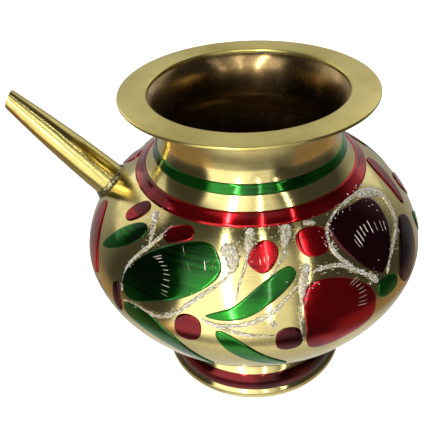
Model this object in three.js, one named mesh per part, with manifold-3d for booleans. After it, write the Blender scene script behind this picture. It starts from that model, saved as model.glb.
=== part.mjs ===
// Spouted brass water pot (karwa kalash): a spun body on a flared foot, a flat rim over a short neck,
// a tapered spout, and enamel and glitter ornament laid on the brass. Millimetres, +Z up.
import * as THREE from "three";
import { mergeVertices } from "three/addons/utils/BufferGeometryUtils.js";
import Module from "manifold-3d";

const wasm = await Module();
wasm.setup();

// Driving dimensions
const BELLY_RADIUS = 55; // outside of the body at its widest circle
const BOWL_LIFT = 11.9; // bowl's lowest point above the foot's rest
const BOWL_DEPTH = 39; // widest circle down to the bowl's lowest point
const BOWL_FULLNESS = 1.65; // exponent of the lower curve, 2 is an ellipse
const SHOULDER_RISE = 35.6; // height at which the shoulder curve would close
const SHOULDER_FULLNESS = 1.78;
const SHOULDER_SHARE = 0.7247; // share of that rise at which the shoulder turns into the neck
const WALL = 1.2; // sheet thickness of the body and the neck
const NECK_RADIUS = 27.9; // outside of the neck at its waist
const NECK_BASE = 12.6; // rise of the fillet from the shoulder to the neck's waist
const NECK_PULL = 0.45; // how far the fillet keeps each end's direction, as shares of its rise
const WAIST_PULL = 0.4;
const NECK_HEIGHT = 11.2; // neck's waist up to the underside of the rim
const NECK_FLARE = 3.7; // how far the neck opens below the rim
const FLARE_PULL = [0.55, 0.88]; // heights of the flare's two handles, as shares of the neck's height
const FLARE_LATE = 0.2; // share of the flare reached by its upper handle
const RIM_RADIUS = 38.6;
const RIM_THICKNESS = 1.6;
const RIM_EDGE = 0.5; // rounding of the rim's edges
const RIM_FILLET = [1.6, 1.8]; // braze under the rim: out along the rim and down the neck
const FOOT_RADIUS = 32.6; // outside of the foot's lip
const FOOT_LIP = 3.5; // height of the plain lip under the foot's enamel
const FOOT_BAND_RADIUS = 30.4; // foot's radius at the top of its enamel
const FOOT_BAND_TOP = 10.1;
const FOOT_NECK_RADIUS = 27.2; // foot's radius where it meets the bowl
const FOOT_WALL = 1.6;
const FOOT_EDGE = 0.5; // chamfer under the foot's lip
const FOOT_LIP_SET = 0.9; // fall of the lip's upper corner
const FOOT_COVE = 0.6; // depth of the cove between the enamel and the collar
const FOOT_COVE_RISE = [0.09, 0.27, 0.52]; // the cove's points, as shares of the way up to the bowl
const FOOT_REST = [2.4, 2.8]; // widths of the ring that the pot rests on, at its foot and its top
const FOOT_REST_HEIGHT = 1.2;
const FOOT_FILLET = [0.38, 4.6]; // braze at the collar: share of that way down, and out along the bowl
const SPOUT_AZIMUTH = -98; // degrees from the front (-Y) towards +X
const SPOUT_ELEVATION = 46.5;
const SPOUT_ROOT = 19.5; // centre of the spout's root, along the wall above the widest circle
const SPOUT_LENGTH = 40.8; // from the wall to the middle of the tip
const SPOUT_ROOT_RADIUS = 6;
const SPOUT_MIDDLE_RADIUS = 4.9;
const SPOUT_TIP_RADIUS = 2.95;
const SPOUT_WALL = 0.8;
const SPOUT_TIP_CUT = 22; // degrees that the tip's cut leans from square
const BRAZE_SPREAD = 2.4; // how far the braze runs out round the spout's root
const BRAZE_CLIMB = 3.2; // how far it climbs the spout
const SEAM_WIDTH = 4; // braze strips inside the seams
const SEAM_THICKNESS = 0.6;
const CLEARANCE = 0.3; // gap between touching solids
const ENAMEL_GAP = 0.25; // enamel's underside above the brass
const ENAMEL_THICKNESS = 0.45;
const GLITTER_GAP = 0.95; // glitter runs over the enamel's edges
const GLITTER_THICKNESS = 0.6;
const GREEN_RING = [41.9, 45.2]; // along the drawn wall above the widest circle, as is all ornament
const RED_RING = [33.0, 37.6];
const NECK_JOINT = 46.4;
const DRAWN_RADIUS = 55; // belly and shoulder length that rings and ornament are drawn for
const DRAWN_SHOULDER = 48.77;
const DRAWN_DEPTH = 39; // bowl depth and shoulder rise that the ornament was drawn on
const DRAWN_RISE = 35.6;
const BACK_TURN = 170; // the ornament is laid twice, the second time turned by this
const TURNS = 36; // facets round a spun piece
const FINE = 1e-4; // points nearer than this are one

const brass = (color, roughness) => new THREE.MeshStandardMaterial({ color, roughness, metalness: 1 });
const lacquer = (color) => new THREE.MeshStandardMaterial({ color, roughness: 0.12, metalness: 0 });
const FINISHES = {
  polished: brass(0xd9c078, 0.18),
  satin: brass(0xb09a56, 0.38),
  braze: brass(0x6e5a2c, 0.5),
  red: lacquer(0x9a0a0e),
  green: lacquer(0x0c5a12),
  maroon: lacquer(0x2e060c),
  glitter: new THREE.MeshStandardMaterial({ color: 0xc9c9c4, roughness: 0.45, metalness: 0.7 }),
};

// Meridian of the body: radius in x, height in y.
const bellyHeight = BOWL_LIFT + BOWL_DEPTH;

// Quarter superellipse from the widest circle towards the axis.
class WallCurve extends THREE.Curve {
  constructor(rise, fullness, share, up) {
    super();
    Object.assign(this, { rise, fullness, share, up });
  }
  getPoint(t, target = new THREE.Vector2()) {
    const climbed = Math.sin(t * Math.asin(this.share));
    const radius = BELLY_RADIUS * Math.sqrt(Math.max(0, 1 - climbed ** this.fullness));
    return target.set(radius, bellyHeight + this.up * this.rise * climbed);
  }
}

const bowlCurve = new WallCurve(BOWL_DEPTH, BOWL_FULLNESS, 1, -1);
const shoulderArc = new WallCurve(SHOULDER_RISE, SHOULDER_FULLNESS, SHOULDER_SHARE, 1);
const shoulderEnd = shoulderArc.getPoint(1);
const shoulderSlope = shoulderArc.getTangent(1);
const neckWaist = new THREE.Vector2(NECK_RADIUS, shoulderEnd.y + NECK_BASE);
const neckFillet = new THREE.CubicBezierCurve(
  shoulderEnd,
  shoulderEnd.clone().addScaledVector(shoulderSlope, NECK_BASE * NECK_PULL),
  new THREE.Vector2(neckWaist.x + WAIST_PULL, neckWaist.y - NECK_BASE * WAIST_PULL),
  neckWaist,
);
const shoulderCurve = new THREE.CurvePath();
shoulderCurve.add(shoulderArc);
shoulderCurve.add(neckFillet);
const shoulderLength = shoulderCurve.getLength();
const bowlLength = bowlCurve.getLength();

// Rings, joints and ornament keep their shares of the shoulder when its size changes.
const drawnLength = shoulderLength / DRAWN_SHOULDER;
const drawnWidth = Math.min(BELLY_RADIUS / DRAWN_RADIUS, drawnLength);
// A wall that is squatter than the drawn one bends more sharply, and its ornament takes more facets.
const bend = Math.max(1, DRAWN_DEPTH / BOWL_DEPTH, DRAWN_RISE / SHOULDER_RISE);
const [greenBand, redBand] = [GREEN_RING, RED_RING].map((ring) => ring.map((edge) => edge * drawnLength));
const neckSeam = NECK_JOINT * drawnLength;

// Point of the wall at a distance along it from the widest circle, up positive, and lifted off the brass.
function wallPoint(along, lift) {
  const up = along >= 0;
  const curve = up ? shoulderCurve : bowlCurve;
  const share = Math.min(1, Math.abs(along) / (up ? shoulderLength : bowlLength));
  const point = curve.getPointAt(share);
  const tangent = curve.getTangentAt(share);
  const side = up ? lift : -lift;
  return new THREE.Vector2(Math.max(0, point.x + side * tangent.y), point.y - side * tangent.x);
}

function wallRun(from, to, steps, lift) {
  return Array.from({ length: steps + 1 }, (_, i) => wallPoint(from + ((to - from) * i) / steps, lift));
}

// Distance along the bowl, below the widest circle, at which its underside has a radius.
function bowlAtRadius(radius) {
  let [low, high] = [-bowlLength, 0];
  while (high - low > FINE) {
    const middle = (low + high) / 2;
    if (wallPoint(middle, CLEARANCE).x < radius) low = middle;
    else high = middle;
  }
  return low;
}

// Position on the body from an azimuth in degrees, a distance along the wall and a lift off it.
function bodyPoint(azimuth, along, lift) {
  const { x: radius, y: height } = wallPoint(along, lift);
  const angle = THREE.MathUtils.degToRad(azimuth);
  return new THREE.Vector3(radius * Math.sin(angle), -radius * Math.cos(angle), height);
}

// Solids

// Shared vertices are merged, and triangles that closed up on an axis or a point are dropped.
function weld(geometry) {
  geometry.deleteAttribute("normal");
  geometry.deleteAttribute("uv");
  const merged = mergeVertices(geometry, FINE);
  const index = merged.index.array;
  const kept = [];
  for (let i = 0; i < index.length; i += 3) {
    const [a, b, c] = [index[i], index[i + 1], index[i + 2]];
    if (a !== b && b !== c && c !== a) kept.push(a, b, c);
  }
  merged.setIndex(kept);
  return merged;
}

const solid = (geometry) =>
  new wasm.Manifold(
    new wasm.Mesh({
      numProp: 3,
      vertProperties: geometry.attributes.position.array,
      triVerts: new Uint32Array(geometry.index.array),
    }),
  );

function geometryOf(manifold) {
  const { vertProperties, triVerts } = manifold.getMesh();
  return new THREE.BufferGeometry()
    .setAttribute("position", new THREE.BufferAttribute(vertProperties, 3))
    .setIndex(new THREE.BufferAttribute(triVerts, 1));
}

// A closed outline of radius and height, in either direction, spun round Z.
function spun(outline, turns = TURNS) {
  const points = outline.map((p) => new THREE.Vector2(p.x, p.y));
  if (THREE.ShapeUtils.area(points) < 0) points.reverse();
  const onAxis = points.findIndex((p, i) => p.x < FINE && points[(i + 1) % points.length].x < FINE);
  if (onAxis < 0) points.push(points[0].clone());
  else points.unshift(...points.splice(onAxis + 1));
  return weld(new THREE.LatheGeometry(points, turns).rotateX(Math.PI / 2));
}

const at = (x, y) => new THREE.Vector2(x, y);

const pot = new THREE.Group();

function addPiece(name, finish, geometry) {
  const mesh = new THREE.Mesh(geometry, FINISHES[finish]);
  mesh.name = name;
  pot.add(mesh);
  return mesh;
}

// Spout axis: its foot on the wall, and its direction.
const spoutRoot = bodyPoint(SPOUT_AZIMUTH, SPOUT_ROOT * drawnLength, 0);
const spoutTurn = new THREE.Matrix4()
  .makeRotationZ(THREE.MathUtils.degToRad(SPOUT_AZIMUTH))
  .multiply(new THREE.Matrix4().makeRotationX(THREE.MathUtils.degToRad(90 - SPOUT_ELEVATION)));
const spoutFrame = new THREE.Matrix4().makeTranslation(spoutRoot).multiply(spoutTurn);

const BORE_RADIUS = SPOUT_ROOT_RADIUS - SPOUT_WALL;
const boreCutter = solid(
  weld(
    new THREE.CylinderGeometry(BORE_RADIUS, BORE_RADIUS, BELLY_RADIUS / 2, TURNS / 2)
      .rotateX(Math.PI / 2)
      .applyMatrix4(spoutFrame),
  ),
);

// Body of revolution that the spout and its braze are cut back from.
const seat = solid(
  spun([
    ...wallRun(-bowlLength / 2, shoulderLength, 14, CLEARANCE),
    at(0, neckWaist.y),
    at(0, wallPoint(-bowlLength / 2, CLEARANCE).y),
  ]),
);

function makeBody() {
  const seamEdge = CLEARANCE / 2;
  const bowl = [...wallRun(-bowlLength, -seamEdge, 9, 0), ...wallRun(-seamEdge, -bowlLength, 9, -WALL)];
  addPiece("lower_bowl", "polished", spun(bowl));
  const shoulder = [
    ...wallRun(seamEdge, neckSeam - seamEdge, 12, 0),
    ...wallRun(neckSeam - seamEdge, seamEdge, 12, -WALL),
  ];
  addPiece("shoulder_shell", "polished", geometryOf(solid(spun(shoulder)).subtract(boreCutter)));
}

// Braze strips behind the two seams of the body.
function makeSeams() {
  const under = -WALL - CLEARANCE;
  for (const [name, seam] of Object.entries({ belly_seam_braze: 0, neck_seam_braze: neckSeam - 1 })) {
    const ends = [seam - SEAM_WIDTH / 2, seam + SEAM_WIDTH / 2];
    const strip = [...wallRun(...ends, 1, under), ...wallRun(...ends.reverse(), 1, under - SEAM_THICKNESS)];
    addPiece(name, "braze", spun(strip));
  }
}

function makeNeckAndRim() {
  const start = neckSeam + CLEARANCE / 2;
  const top = neckWaist.y + NECK_HEIGHT;
  const flare = new THREE.CubicBezierCurve(
    neckWaist,
    at(NECK_RADIUS, neckWaist.y + NECK_HEIGHT * FLARE_PULL[0]),
    at(NECK_RADIUS + NECK_FLARE * FLARE_LATE, neckWaist.y + NECK_HEIGHT * FLARE_PULL[1]),
    at(NECK_RADIUS + NECK_FLARE, top),
  ).getPoints(4);
  const outside = [...wallRun(start, shoulderLength, 2, 0), ...flare.slice(1)];
  const inside = outside.map((p) => at(p.x - WALL, p.y)).reverse();
  inside[0].x = outside.at(-1).x - WALL - RIM_EDGE;
  addPiece("neck_collar", "polished", spun([...outside, ...inside]));

  const mouth = inside[0].x;
  const under = top + CLEARANCE;
  const over = under + RIM_THICKNESS;
  const rim = [
    at(mouth + RIM_EDGE, under),
    at(RIM_RADIUS - RIM_EDGE, under),
    at(RIM_RADIUS, under + RIM_EDGE),
    at(RIM_RADIUS, over - RIM_EDGE),
    at(RIM_RADIUS - RIM_EDGE, over),
    at(mouth + RIM_EDGE, over),
    at(mouth, over - RIM_EDGE),
    at(mouth, under + RIM_EDGE),
  ];
  addPiece("rim_flange", "satin", spun(rim));

  const neckEdge = outside.at(-1).x + CLEARANCE;
  const [out, down] = RIM_FILLET;
  const fillet = [
    at(neckEdge, top),
    at(neckEdge + out, top),
    at(neckEdge + out / 4, top - down * 0.4),
    at(neckEdge - down / 2, top - down),
    at(neckEdge - down * 0.58, top - down * 0.75),
  ];
  addPiece("rim_braze", "braze", spun(fillet));
}

function makeFoot() {
  const bowlUnder = (along) => wallPoint(along, CLEARANCE);
  const meets = bowlAtRadius(FOOT_NECK_RADIUS);
  const collar = bowlUnder(meets).y - CLEARANCE;
  const collarInside = bowlUnder(bowlAtRadius(FOOT_NECK_RADIUS - FOOT_WALL)).y - CLEARANCE;
  const rise = collar - FOOT_BAND_TOP;
  const cove = (FOOT_BAND_RADIUS + FOOT_NECK_RADIUS) / 2 - FOOT_COVE;
  const outside = [
    at(FOOT_RADIUS - FOOT_EDGE, 0),
    at(FOOT_RADIUS, FOOT_EDGE),
    at(FOOT_RADIUS, FOOT_LIP - FOOT_LIP_SET),
    at(FOOT_RADIUS - FOOT_LIP_SET, FOOT_LIP),
    at(FOOT_BAND_RADIUS, FOOT_BAND_TOP),
    at(FOOT_BAND_RADIUS - FOOT_COVE, FOOT_BAND_TOP + rise * FOOT_COVE_RISE[0]),
    at(cove, FOOT_BAND_TOP + rise * FOOT_COVE_RISE[1]),
    at(FOOT_NECK_RADIUS, FOOT_BAND_TOP + rise * FOOT_COVE_RISE[2]),
    at(FOOT_NECK_RADIUS, collar),
  ];
  const inside = outside.slice(3).map((p) => at(p.x - FOOT_WALL, p.y)).reverse();
  inside[0].y = collarInside;
  const lip = [at(FOOT_RADIUS - FOOT_REST[1], FOOT_REST_HEIGHT), at(FOOT_RADIUS - FOOT_REST[0], 0)];
  addPiece("foot_ring", "polished", spun([...outside, ...inside, ...lip]));

  const down = rise * FOOT_FILLET[0];
  const out = FOOT_FILLET[1];
  const step = FOOT_NECK_RADIUS + CLEARANCE;
  const fillet = [
    at(step, collar - down),
    at(step + out / 9, collar - down * 0.7),
    at(step + out * 0.28, collar - down / 3),
    bowlUnder(meets + out),
    bowlUnder(meets + out / 2),
    at(step, bowlUnder(meets + out / 4).y - CLEARANCE),
  ];
  addPiece("foot_braze", "braze", spun(fillet));

  const start = outside[3];
  const end = outside[4];
  const skin = [ENAMEL_GAP, ENAMEL_GAP + ENAMEL_THICKNESS].map((lift) => [
    at(start.x + lift, start.y + CLEARANCE / 2),
    at(end.x + lift, end.y - CLEARANCE / 2),
  ]);
  addPiece("red_foot_band", "red", spun([...skin[0], ...skin[1].reverse()]));
}

function makeSpout() {
  const sunk = SPOUT_ROOT_RADIUS;
  const over = SPOUT_TIP_RADIUS * Math.tan(THREE.MathUtils.degToRad(SPOUT_TIP_CUT)) + CLEARANCE;
  const outside = [
    at(SPOUT_ROOT_RADIUS, -sunk),
    at(SPOUT_ROOT_RADIUS, 0),
    at(SPOUT_MIDDLE_RADIUS, SPOUT_LENGTH / 2),
    at(SPOUT_TIP_RADIUS, SPOUT_LENGTH + over),
  ];
  const inside = outside.map((p) => at(p.x - SPOUT_WALL, p.y)).reverse();
  const tipBlock = solid(
    weld(
      new THREE.BoxGeometry(SPOUT_LENGTH, SPOUT_LENGTH, SPOUT_LENGTH)
        .translate(0, 0, SPOUT_LENGTH / 2)
        .rotateX(THREE.MathUtils.degToRad(SPOUT_TIP_CUT))
        .translate(0, 0, SPOUT_LENGTH)
        .applyMatrix4(spoutFrame),
    ),
  );
  const tube = solid(spun([...outside, ...inside], TURNS / 2).applyMatrix4(spoutFrame));
  addPiece("spout_tube", "polished", geometryOf(tube.subtract(seat).subtract(tipBlock)));

  const lump = [
    at(0, -sunk),
    at(SPOUT_ROOT_RADIUS + BRAZE_SPREAD, -sunk),
    at(SPOUT_ROOT_RADIUS + BRAZE_SPREAD, CLEARANCE),
    at(SPOUT_ROOT_RADIUS + BRAZE_SPREAD * 0.4, BRAZE_CLIMB * 0.5),
    at(SPOUT_ROOT_RADIUS + CLEARANCE / 2, BRAZE_CLIMB),
    at(0, BRAZE_CLIMB),
  ];
  const passage = outside.map((p) => at(p.x + CLEARANCE, p.y));
  const deep = -2 * sunk;
  const fill = [at(0, deep), at(passage[0].x, deep), ...passage.slice(1), at(0, passage.at(-1).y)];
  const core = solid(spun(fill, TURNS / 2).applyMatrix4(spoutFrame));
  const braze = solid(spun(lump, TURNS / 2).applyMatrix4(spoutFrame)).subtract(seat).subtract(core);
  addPiece("spout_root_braze", "braze", geometryOf(braze));
}

function makeBand(name, finish, [from, to]) {
  const band = [
    ...wallRun(from, to, 2, ENAMEL_GAP),
    ...wallRun(to, from, 2, ENAMEL_GAP + ENAMEL_THICKNESS),
  ];
  addPiece(name, finish, spun(band));
}

// Ornament: each stroke follows a spine of [azimuth, distance along the drawn wall] and swells to a
// half-width.
// The two taper powers set how its ends close: 0.5 is round, 1 is pointed, 0.2 is nearly square.
const STROKE_END = 0.16; // least half-width, at the very ends
const BROAD = 3.5; // half-width from which a stroke needs more facets

const ENAMELS = {
  small_petal: { finish: "red", spine: [[-62, 24.6], [-54.6, 32.2]], half: 2.7, taper: [0.5, 0.5] },
  side_leaf: {
    finish: "green",
    spine: [[-65, 12.6], [-57, 19.5], [-48, 26.2]],
    half: 3.1,
    taper: [0.8, 0.5],
  },
  upper_petal: { finish: "red", spine: [[-39.2, 26.6], [-27, 30.2]], half: 2.6, taper: [0.45, 0.4] },
  paisley: {
    finish: "green",
    spine: [[-47, 7], [-38, 14.3], [-27, 19.6], [-15, 24.6]],
    half: 7.6,
    taper: [0.5, 0.42],
  },
  middle_drop: { finish: "red", spine: [[-2.6, 21.4], [4.2, 28.8]], half: 3.6, taper: [0.4, 0.5] },
  upper_drop: { finish: "red", spine: [[19.4, 22.5], [20.6, 30.8]], half: 4.7, taper: [0.5, 0.45] },
  curved_leaf: {
    finish: "green",
    spine: [[-17.4, 8.4], [-8, 10.2], [1, 15.4], [10.4, 20.9]],
    half: 2.8,
    taper: [0.9, 0.45],
  },
  heart_petal: {
    finish: "maroon",
    spine: [[40.6, 10.4], [42, 20], [43.5, 31.4]],
    half: 11,
    taper: [1.0, 0.42],
  },
  tulip: { finish: "red", spine: [[11.4, 5.8], [23, 5.8], [35.2, 3.2]], half: 10.4, taper: [0.2, 0.5] },
  small_leaf: { finish: "green", spine: [[37.2, 6.2], [46.6, 5.6]], half: 2.9, taper: [0.4, 0.5] },
  tall_petal: {
    finish: "maroon",
    spine: [[49.4, 3.2], [58, 8.5], [67, 16.4]],
    half: 5.4,
    taper: [0.5, 0.5],
  },
  left_dot: { finish: "red", spine: [[-26.6, 4], [-18.4, 4]], half: 4, taper: [0.5, 0.5] },
  right_dot: { finish: "red", spine: [[2.6, 1.6], [10.4, 1.6]], half: 3.8, taper: [0.5, 0.5] },
  low_leaf: {
    finish: "green",
    spine: [[-46, 2.4], [-37, 0.6], [-28, -4], [-17, -15]],
    half: 3.8,
    taper: [0.55, 0.9],
  },
  front_leaf: {
    finish: "green",
    spine: [[-14, 4.4], [-8.6, -0.4], [-2, -6.4], [7, -13]],
    half: 2.8,
    taper: [0.7, 0.8],
  },
  edge_petal: { finish: "red", spine: [[-84, 19], [-76, 12], [-64, 3]], half: 4.4, taper: [0.5, 0.6] },
};

const GLITTERS = {
  left_line: [
    {
      spine: [[-37.2, 30], [-40.8, 24.6], [-43.6, 20.9], [-46.6, 17], [-48.1, 12.8], [-47.6, 6]],
      half: 0.75,
      taper: [0.3, 0.5],
    },
    { spine: [[-49.5, 31.4], [-46.5, 29.2], [-43, 22.4]], half: 1.5, taper: [0.4, 0.8] },
  ],
  paisley_line: [
    { spine: [[-14.6, 27.6], [-10.6, 25.4], [-9.8, 20.6]], half: 3, taper: [0.5, 0.7] },
    {
      spine: [
        [-9.6, 22.6], [-12.1, 19], [-18.7, 14.1], [-22.6, 11],
        [-26.6, 7.4], [-32.6, 4.5], [-40.6, 4.9], [-46.7, 3.8],
      ],
      half: 0.8,
      taper: [0.3, 0.5],
    },
  ],
  left_drop: [
    { spine: [[-3.5, 32.9], [-5.1, 26.4]], half: 1.9, taper: [0.4, 0.6] },
    { spine: [[-4.8, 28], [-5, 24.7], [-7.6, 17.5], [-8.4, 13.5]], half: 0.6, taper: [0.3, 0.6] },
  ],
  right_drop: [
    { spine: [[11.6, 32.9], [10.4, 30.4], [8.4, 27]], half: 2.2, taper: [0.4, 0.6] },
    { spine: [[8.9, 28.4], [8.4, 25.5], [6.2, 22.9], [2.6, 19.6]], half: 0.6, taper: [0.3, 0.6] },
  ],
  vine: [
    {
      spine: [[-18.4, 7.3], [-14, 6.3], [-8.8, 6.6], [-3.6, 7.6], [1, 9.5], [5.2, 12.2], [11.8, 17.4]],
      half: 0.85,
      taper: [0.3, 0.3],
    },
    { spine: [[-17.6, 7.1], [-10, 5], [-3.7, 3.8], [3.4, 3.5]], half: 0.6, taper: [0.3, 0.6] },
    { spine: [[15.2, 21.6], [12.6, 17], [11.2, 12.6]], half: 1.9, taper: [0.5, 0.6] },
    { spine: [[11.4, 14.4], [10.5, 10.3], [10, 5.6], [10.2, 0]], half: 0.5, taper: [0.3, 0.6] },
  ],
  heart_line: [
    {
      spine: [[36.7, 11.1], [30.5, 16.3], [27, 20.6], [25.6, 24.4], [27.1, 28.4], [35.7, 32.2]],
      half: 0.85,
      taper: [0.3, 0.2],
    },
    {
      spine: [
        [34, 31.8], [45, 32.8], [57, 31.6], [64, 27.6],
        [63, 22.5], [58.9, 18.2], [51.3, 15], [46.1, 12.4], [42.5, 9.1],
      ],
      half: 1,
      taper: [0.2, 0.4],
    },
    { spine: [[52, 31.8], [59, 30], [65, 26]], half: 2.2, taper: [0.5, 0.5] },
    {
      spine: [[16.4, 18.9], [21.1, 19.1], [26.8, 18.1], [32.3, 14.3], [37.2, 10.6]],
      half: 0.8,
      taper: [0.3, 0.3],
    },
  ],
};

const swell = (t, [start, end]) => {
  const peak = start / (start + end);
  return (t ** start * (1 - t) ** end) / (peak ** start * (1 - peak) ** end);
};

// A box bent along its spine and over the wall: x runs along the stroke, y across it, z off the brass.
function stroke({ spine, half, taper }, turn, bottom, thickness, steps, rows) {
  const knots = spine.map(([azimuth, distance]) => at(azimuth, distance * drawnLength));
  const path = new THREE.SplineCurve(knots);
  const box = weld(new THREE.BoxGeometry(1, 2, 1, steps, rows, 1).translate(0.5, 0, 0.5));
  const position = box.attributes.position;
  for (let i = 0; i < position.count; i++) {
    const t = (1 - Math.cos(Math.PI * position.getX(i))) / 2;
    const middle = path.getPoint(t);
    const slope = path.getTangent(t);
    const perDegree = THREE.MathUtils.degToRad(wallPoint(middle.y, 0).x);
    const across = at(-slope.y, slope.x * perDegree).normalize();
    const width = Math.max(STROKE_END, half * drawnWidth * swell(t, taper)) * position.getY(i);
    const azimuth = turn + middle.x + (across.x * width) / perDegree;
    const lift = bottom + thickness * position.getZ(i);
    position.setXYZ(i, ...bodyPoint(azimuth, middle.y + across.y * width, lift));
  }
  return box;
}

function makeOrnament(side, turn) {
  for (const [name, piece] of Object.entries(ENAMELS)) {
    const facets = piece.half > BROAD ? [8, 4] : [7, 2];
    const [steps, rows] = facets.map((count) => Math.ceil(count * bend));
    const geometry = stroke(piece, turn, ENAMEL_GAP, ENAMEL_THICKNESS, steps, rows);
    addPiece(side + "_" + name, piece.finish, geometry);
  }
  for (const [name, strokes] of Object.entries(GLITTERS)) {
    const solids = strokes.map((one) => {
      const along = Math.max(6, 2 * one.spine.length + 1);
      return solid(stroke(one, turn, GLITTER_GAP, GLITTER_THICKNESS, along, 1));
    });
    addPiece(side + "_glitter_" + name, "glitter", geometryOf(wasm.Manifold.union(solids)));
  }
}

makeBody();
makeSeams();
makeNeckAndRim();
makeFoot();
makeSpout();
makeBand("green_neck_band", "green", greenBand);
makeBand("red_shoulder_band", "red", redBand);
makeOrnament("front", 0);
makeOrnament("back", BACK_TURN);

// The origin is the middle of the bounding box's underside.
const extent = new THREE.Box3().setFromObject(pot);
const centre = extent.getCenter(new THREE.Vector3());
pot.position.set(-centre.x, -centre.y, -extent.min.z);

export default pot;
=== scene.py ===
"""Fine surfaces and finishes for a spouted brass water pot, built round its packed frame."""

import math

import bpy
import numpy as np
from bpy.props import FloatProperty, FloatVectorProperty, IntProperty, PointerProperty
from mathutils import Matrix, Vector


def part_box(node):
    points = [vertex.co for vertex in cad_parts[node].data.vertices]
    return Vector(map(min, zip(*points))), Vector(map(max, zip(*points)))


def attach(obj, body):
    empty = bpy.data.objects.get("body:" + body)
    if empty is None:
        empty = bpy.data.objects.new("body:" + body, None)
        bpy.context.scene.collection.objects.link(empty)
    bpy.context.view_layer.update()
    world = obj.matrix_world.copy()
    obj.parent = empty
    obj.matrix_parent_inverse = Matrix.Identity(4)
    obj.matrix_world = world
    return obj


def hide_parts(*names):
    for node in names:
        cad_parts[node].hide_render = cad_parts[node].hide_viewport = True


bl_info = {
    "name": "Spouted Brass Pot",
    "version": (1, 0, 0),
    "blender": (4, 5, 0),
    "location": "3D View > Sidebar > Pot",
    "description": "Builds the spun brass, enamel, glitter and studio of a spouted water pot",
    "category": "Object",
}

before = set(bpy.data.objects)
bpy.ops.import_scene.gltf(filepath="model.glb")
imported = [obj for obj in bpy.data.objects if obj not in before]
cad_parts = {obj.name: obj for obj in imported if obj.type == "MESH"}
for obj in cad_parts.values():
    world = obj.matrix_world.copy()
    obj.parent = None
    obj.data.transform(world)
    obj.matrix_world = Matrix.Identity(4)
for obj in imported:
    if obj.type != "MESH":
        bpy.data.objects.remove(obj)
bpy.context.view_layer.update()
MM = 0.001
BODY = "root"

# ---- Places and sizes from the frame ----

RIM_LOW, RIM_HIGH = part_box("rim_flange")
BOWL_LOW, BOWL_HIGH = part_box("lower_bowl")
FOOT_LOW, FOOT_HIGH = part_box("foot_ring")
SHOULDER_LOW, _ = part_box("shoulder_shell")
AXIS = Vector(((RIM_LOW.x + RIM_HIGH.x) / 2, (RIM_LOW.y + RIM_HIGH.y) / 2, 0))
BELLY_RADIUS = (BOWL_HIGH.x - BOWL_LOW.x) / 2
BELLY_HEIGHT = (BOWL_HIGH.z + SHOULDER_LOW.z) / 2
BOWL_DEPTH = BELLY_HEIGHT - BOWL_LOW.z
RIM_RADIUS = (RIM_HIGH.x - RIM_LOW.x) / 2
FOOT_RADIUS = (FOOT_HIGH.x - FOOT_LOW.x) / 2

# Shape of the wall, as in the frame's own design
BOWL_FULLNESS = 1.65
SHOULDER_RISE = 35.6 * MM
SHOULDER_FULLNESS = 1.78
SHOULDER_TOP = 25.8 * MM
NECK_RADIUS = 27.9 * MM
NECK_BASE = 12.6 * MM
NECK_FLARE = 3.7 * MM
NECK_TOP = RIM_LOW.z - 0.3 * MM
WALL = 1.2 * MM
NECK_SEAM = 46.4 * MM
GREEN_BAND = (41.9 * MM, 45.2 * MM)
RED_BAND = (33.0 * MM, 37.6 * MM)
FOOT_BAND_RADIUS = 30.4 * MM
FOOT_LIP = 3.5 * MM
FOOT_BAND_TOP = 10.1 * MM
FOOT_NECK_RADIUS = 27.2 * MM
FOOT_WALL = 1.6 * MM
SPOUT_AZIMUTH = -98.0
SPOUT_ELEVATION = 46.5
SPOUT_ROOT = 19.5 * MM
SPOUT_LENGTH = 40.8 * MM
SPOUT_RADII = (6.0 * MM, 4.9 * MM, 2.95 * MM)
SPOUT_WALL = 0.8 * MM
SPOUT_TIP_CUT = 22.0
BACK_TURN = 170.0


def cumulative(radius, height):
    """Distance along a chain of points, starting from nought."""
    return np.concatenate([[0.0], np.cumsum(np.hypot(np.diff(radius), np.diff(height)))])


def bezier(points, count):
    """Points of a cubic curve through its first and last control points."""
    t = np.linspace(0, 1, count)[:, None]
    a, b, c, d = (np.array(p, float) for p in points)
    return (1 - t) ** 3 * a + 3 * (1 - t) ** 2 * t * b + 3 * (1 - t) * t**2 * c + t**3 * d


def wall_tables():
    """Radius, height and outward normal of the wall against the distance above its widest circle."""
    climb = np.sin(np.linspace(0, math.pi / 2, 500))
    bowl_r = BELLY_RADIUS * np.sqrt(np.clip(1 - climb**BOWL_FULLNESS, 0, 1))
    bowl_z = BELLY_HEIGHT - BOWL_DEPTH * climb
    top = math.asin(SHOULDER_TOP / SHOULDER_RISE)
    climb = np.sin(np.linspace(0, top, 300))
    arc_r = BELLY_RADIUS * np.sqrt(1 - climb**SHOULDER_FULLNESS)
    arc_z = BELLY_HEIGHT + SHOULDER_RISE * climb
    end = np.array([arc_r[-1], arc_z[-1]])
    slope = end - np.array([arc_r[-2], arc_z[-2]])
    slope /= np.linalg.norm(slope)
    waist = np.array([NECK_RADIUS, end[1] + NECK_BASE])
    fillet = bezier(
        (end, end + slope * NECK_BASE * 0.45, waist + (0.4 * MM, -NECK_BASE * 0.4), waist), 160
    )
    rise = NECK_TOP - waist[1]
    flare = bezier(
        (
            waist,
            waist + (0, rise * 0.55),
            (NECK_RADIUS + NECK_FLARE * 0.2, NECK_TOP - rise * 0.12),
            (NECK_RADIUS + NECK_FLARE, NECK_TOP),
        ),
        120,
    )
    radius = np.concatenate([bowl_r[::-1], arc_r[1:], fillet[1:, 0], flare[1:, 0]])
    height = np.concatenate([bowl_z[::-1], arc_z[1:], fillet[1:, 1], flare[1:, 1]])
    along = cumulative(radius, height)
    along -= along[len(bowl_r) - 1]
    across = np.gradient(radius, along)
    upward = np.gradient(height, along)
    return along, radius, height, upward, -across


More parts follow.
